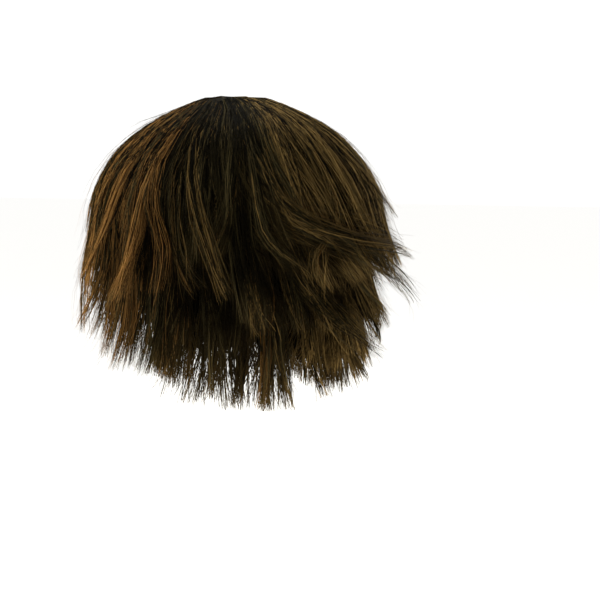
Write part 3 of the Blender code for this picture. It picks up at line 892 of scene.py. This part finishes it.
def capFabric():
    # A fine stretch knit: two crossed sets of ribs in the bump, with painted shade making the grooves
    # between the ribs darker than their tops
    material, shader = newMaterial("capFabric")
    look = {"low": (0.010, 0.008, 0.007, 1.0), "high": (0.034, 0.027, 0.022, 1.0), "pitch": 0.0016}
    place = Wire.node("ShaderNodeTexCoord")
    turns = 2 * math.pi / look["pitch"]
    parts = Wire.node("ShaderNodeSeparateXYZ", None, Vector=Wire(place.outputs["Object"]))
    across = Wire.maths("SINE", (Wire(parts.outputs["X"]) + Wire(parts.outputs["Y"])) * turns, 0.0)
    down = Wire.maths("SINE", Wire(parts.outputs["Z"]) * turns, 0.0)
    knit = (across * down) * 0.5 + 0.5
    mixed = Wire.node("ShaderNodeMix", {"data_type": "RGBA"}, Factor=knit, in6=look["low"], in7=look["high"])
    Wire.tree.links.new(mixed.outputs[2], shader.inputs["Base Color"])
    bump = Wire.node("ShaderNodeBump", None, Height=knit, Distance=0.0004, Strength=0.8)
    Wire.tree.links.new(bump.outputs[0], shader.inputs["Normal"])
    shader.inputs["Roughness"].default_value = 0.75
    return material


# What the pieces share, and then what those of one row share: where their locks are rooted, how far
# down a hair may start and how much more often near the root, its rings and how wide it is, in shares
# of a fibre. Each tier of locks says how many metres short of the row's end its locks stop, at least
# and at most, and how near the outside they lie
anyHair = {
    "firstRoots": 0.35, "rootPower": 0.6, "rings": 8, "hairWide": 1.05, "wander": 1.0, "cut": 1.0,
    "glow": 0.20, "bodyReach": lockBody["reach"],
    "tiers": ((-0.008, 0.002, 0.40), (0.006, 0.020, 0.70), (-0.004, 0.008, 0.50)),
}
rowHair = {
    "crown": {
        "roots": (0.0005, 0.009), "firstRoots": 0.32, "rootPower": 1.6, "rings": 9, "hairWide": 1.0,
        "tiers": ((-0.008, 0.004, 0.35), (0.018, 0.045, 0.80), (0.000, 0.014, 0.55), (0.040, 0.075, 0.92)),
    },
    "middle": {"roots": (0.066, 0.078)},
    "fringe": {"roots": (0.093, 0.098), "firstRoots": 0.20, "rootPower": 0.8},
    "nape": {
        "roots": (0.123, 0.130), "hairWide": 1.75, "wander": 0.6, "cut": 0.6, "glow": 1.0,
        "bodyReach": 0.97,
        "tiers": ((-0.010, 0.000, 0.40), (0.000, 0.012, 0.70), (-0.006, 0.006, 0.50)),
    },
}

# The hair's pieces: the node each stands for, its row, its azimuths, its locks, its hairs, and what it
# has of its own
pieces = {
    "crownLeft": ("crown_hair", "crown", 18, 132, 19, 3100, {}),
    "crownBack": ("crown_hair", "crown", 132, 246, 19, 3100, {"wander": 1.5}),
    "crownRight": ("crown_hair", "crown", 246, 378, 22, 2500, {"hairWide": 1.08}),
    "sideLayerLeft": ("side_layer_left", "middle", 26, 98, 12, 1600, {}),
    "backLayer": ("back_layer", "middle", 98, 262, 22, 2600, {"wander": 1.4}),
    "sideLayerRight": ("side_layer_right", "middle", 262, 334, 12, 1250, {}),
    "frontLayer": ("front_layer", "middle", -26, 26, 8, 450, {}),
    "fringeHair": ("fringe", "fringe", -58, 58, 14, 500, {}),
    "napeHair": ("nape_hair", "nape", 64, 296, 32, 4400, {}),
}


def addHair(name, piece, hairLook, bodyLook, seed):
    # A piece's hairs as one mesh, and the bodies of its locks as another
    node, row, start, end, locks, hairs, own = piece
    facts = {**anyHair, **rowHair[row], **own, "row": row}
    rng = np.random.default_rng(seed)
    guides = lockGuides(facts, start, end, locks, rng)
    addNamedLocks(guides, name)
    hairs = hairs // 1
    centres, outward, widths, shades = combHairs(facts, guides, hairs, rng)
    mesh = tubeMesh(name, centres, outward, widths, widths, shades, fibre["sides"])
    addPiece(name, mesh, hairLook, [node])
    centres, outward, widths, thicks, shades = combBodies(facts, guides, rng)
    mesh = tubeMesh(name + "Locks", centres, outward, widths, thicks, shades, lockBody["sides"])
    addPiece(name + "Locks", mesh, bodyLook, [node])


def capShell(material):
    # The cap's wall between its two faces, down to a hem that rises over the face and the ears
    shell = {
        "columns": 96, "rings": 26, "depth": 0.152,
        "azimuth": (0, 38, 62, 76, 92, 108, 140, 180),
        "share": (0.33, 0.37, 0.62, 0.76, 0.65, 0.72, 0.92, 1.0),
    }
    azimuth = 360 * np.arange(shell["columns"]) / shell["columns"]
    hem = domeTravel + shell["depth"] * byAzimuth(shell, "share", azimuth) - head["dome"]
    share = np.linspace(0.0, 1.0, shell["rings"])[None, :]
    travel = hem[:, None] * share
    outer = onForm(azimuth[:, None], travel, head["capWall"] - 0.0001)[0]
    inner = onForm(azimuth[:, None], travel, 0.0)[0]
    loop = np.concatenate((outer, inner[:, ::-1]), axis=1)
    addPiece("capShell", gridMesh("capShell", loop, True), material, ["cap"])


print("materials")
looks = {name: fibreMaterial(name, look) for name, look in fibreLooks.items()}
capLook = capFabric()

print("cap and under hair")
capShell(capLook)
under = looks["underFibre"]
for name, row, start, end, columns, node in underPieces:
    addUnderlay(name, row, start, end, columns, under, node)

print("hairs")
for number, (name, piece) in enumerate(pieces.items()):
    addHair(name, piece, looks["hairFibre"], looks["lockFibre"], 100 + number)

print("stage, lights and camera")
stage = {
    "floorLevel": -0.62,
    "floorHalf": 14.0,
    "floorColour": (0.90, 0.895, 0.88, 1.0),
    "floorGlow": 0.80,
    "worldColour": (1.0, 0.998, 0.985, 1.0),
    "worldSeen": 1.05,          # strength to the camera
    "worldLight": 0.30,         # strength to everything else
    "lightColour": (1.0, 0.975, 0.88),
    "lightAim": -0.12,          # the height that the lights look at
    "lights": {                 # azimuth, elevation, distance, size and power
        "keyLight": (63, 38, 2.2, 1.6, 68),
        "fillLight": (238, 20, 2.4, 1.8, 58),
        "backLight": (310, 62, 2.4, 1.6, 22),
    },
    "photoAzimuth": 115,
    "photoElevation": 5,
    "photoDistance": 1.6,
    "photoScale": 0.00087,      # metres to a pixel at the wig
    "photoCrown": (235, 109),   # the pixel of the cap's inside under the crown
    "photoSize": (600, 597),
}


def addFloor():
    half, level = stage["floorHalf"], stage["floorLevel"]
    corners = [(-half, -half, level), (half, -half, level), (half, half, level), (-half, half, level)]
    mesh = bpy.data.meshes.new("floor")
    mesh.from_pydata(corners, [], [(0, 1, 2, 3)])
    floor = bpy.data.objects.new("floor", mesh)
    bpy.context.scene.collection.objects.link(floor)
    material, shader = newMaterial("floorPaint")
    shader.inputs["Base Color"].default_value = stage["floorColour"]
    shader.inputs["Roughness"].default_value = 0.9
    shader.inputs["Emission Color"].default_value = stage["floorColour"]
    shader.inputs["Emission Strength"].default_value = stage["floorGlow"]
    mesh.materials.append(material)


def addWorld():
    # White to the camera and dimmer as a light, so that the dark hair isn't washed out
    world = bpy.data.worlds.new("studio")
    world.use_nodes = True
    Wire.tree = world.node_tree
    background = world.node_tree.nodes["Background"]
    background.inputs["Color"].default_value = stage["worldColour"]
    seen = Wire(Wire.node("ShaderNodeLightPath").outputs["Is Camera Ray"])
    strength = stage["worldLight"] + (stage["worldSeen"] - stage["worldLight"]) * seen
    world.node_tree.links.new(strength.socket, background.inputs["Strength"])
    bpy.context.scene.world = world


def wayOut(azimuth, elevation):
    # The direction (sin a cos e, -cos a cos e, sin e)
    around, up = math.radians(azimuth), math.radians(elevation)
    return Vector((math.sin(around) * math.cos(up), -math.cos(around) * math.cos(up), math.sin(up)))


def addLight(name, azimuth, elevation, distance, size, power):
    # An area light looking at the wig's middle from this azimuth and elevation
    data = bpy.data.lights.new(name, "AREA")
    data.energy = power
    data.size = size
    data.color = stage["lightColour"]
    lamp = bpy.data.objects.new(name, data)
    bpy.context.scene.collection.objects.link(lamp)
    out = wayOut(azimuth, elevation)
    lamp.location = Vector((0, 0, stage["lightAim"])) + out * distance
    lamp.rotation_euler = out.to_track_quat("Z", "Y").to_euler()


def addCamera():
    # The camera looks along the photo's direction at the point in the middle of its frame
    out = wayOut(stage["photoAzimuth"], stage["photoElevation"])
    around = math.radians(stage["photoAzimuth"])
    right = Vector((math.cos(around), math.sin(around), 0))
    top = out.cross(right)
    width, height = stage["photoSize"]
    aim = right * (width / 2 - stage["photoCrown"][0]) * stage["photoScale"]
    aim += top * (stage["photoCrown"][1] - height / 2) * stage["photoScale"]
    data = bpy.data.cameras.new("photoCamera")
    data.sensor_width = 36.0
    data.lens = stage["photoDistance"] / (stage["photoScale"] * width) * data.sensor_width
    camera = bpy.data.objects.new("photoCamera", data)
    bpy.context.scene.collection.objects.link(camera)
    camera.location = aim + out * stage["photoDistance"]
    camera.rotation_euler = out.to_track_quat("Z", "Y").to_euler()
    bpy.context.scene.camera = camera


addFloor()
addWorld()
for name, facts in stage["lights"].items():
    addLight(name, *facts)
addCamera()
bpy.context.scene.view_settings.view_transform = "Standard"
